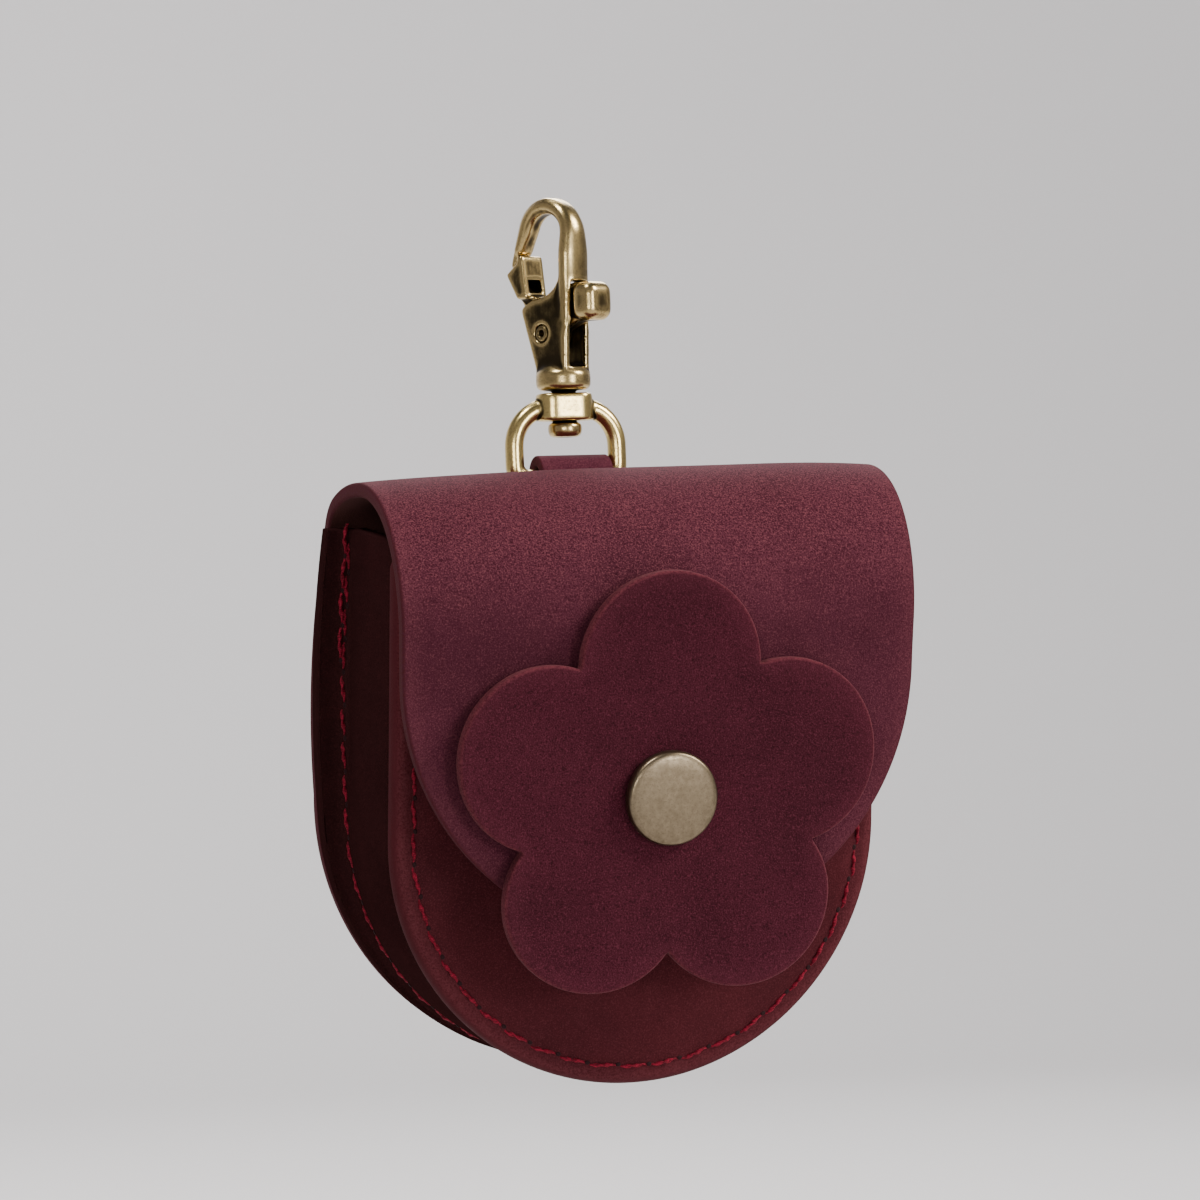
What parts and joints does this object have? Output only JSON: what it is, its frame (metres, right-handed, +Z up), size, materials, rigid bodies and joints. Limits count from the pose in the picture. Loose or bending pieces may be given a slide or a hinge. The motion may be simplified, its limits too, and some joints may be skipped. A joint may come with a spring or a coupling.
{
  "type": "leather clip-on pouch",
  "caption": "Small round-bottomed leather pouch with a fold-over flap, a leather flower under a brass snap, and a tab on the swivel ring of a brass trigger clasp.",
  "frame": {"origin": "on the swivel's axis, where it meets the inside of the hook's crown, which is where the clasp hangs", "axes": "+Z up along the swivel's axis, -Y out of the pouch's front, +X to the right seen from the front"},
  "size_m": [0.0774, 0.0467, 0.1236],
  "materials": {
    "leather": "matt burgundy leather with a fine nap and raw cut edges",
    "flower_leather": "matt darker burgundy leather with raw cut edges",
    "clasp_brass": "antique brass plate, satin, darkened in its recesses",
    "snap_brass": "pale antique brass, satin"
  },
  "bodies": {
    "clasp": {"clasp_body": "clasp_brass", "lever_pin": "clasp_brass"},
    "lever": {"clasp_lever": "clasp_brass"},
    "ring": {"swivel_ring": "clasp_brass"},
    "pouch": {"back_flap": "leather", "gusset": "leather", "front_panel": "leather", "flower": "flower_leather", "ring_tab": "leather", "snap_cap": "snap_brass", "snap_stud": "snap_brass"}
  },
  "joints": [
    {"name": "gate_hinge", "type": "hinge", "parent": "clasp", "child": "lever", "pos_m": [-0.00068, 0.00134, -0.0164], "axis": [0.891, 0.454, 0], "range_deg": [0, 28], "stiffness_Nm_per_rad": 0.01, "springref_deg": -20.05},
    {"name": "swivel", "type": "hinge", "parent": "clasp", "child": "ring", "pos_m": [0, 0, -0.0264], "axis": [0, 0, 1], "continuous": true},
    {"name": "ring_swing", "type": "hinge", "parent": "ring", "child": "pouch", "pos_m": [0, 0, -0.0367], "axis": [1, 0, 0], "range_deg": [-60, 90]}
  ]
}
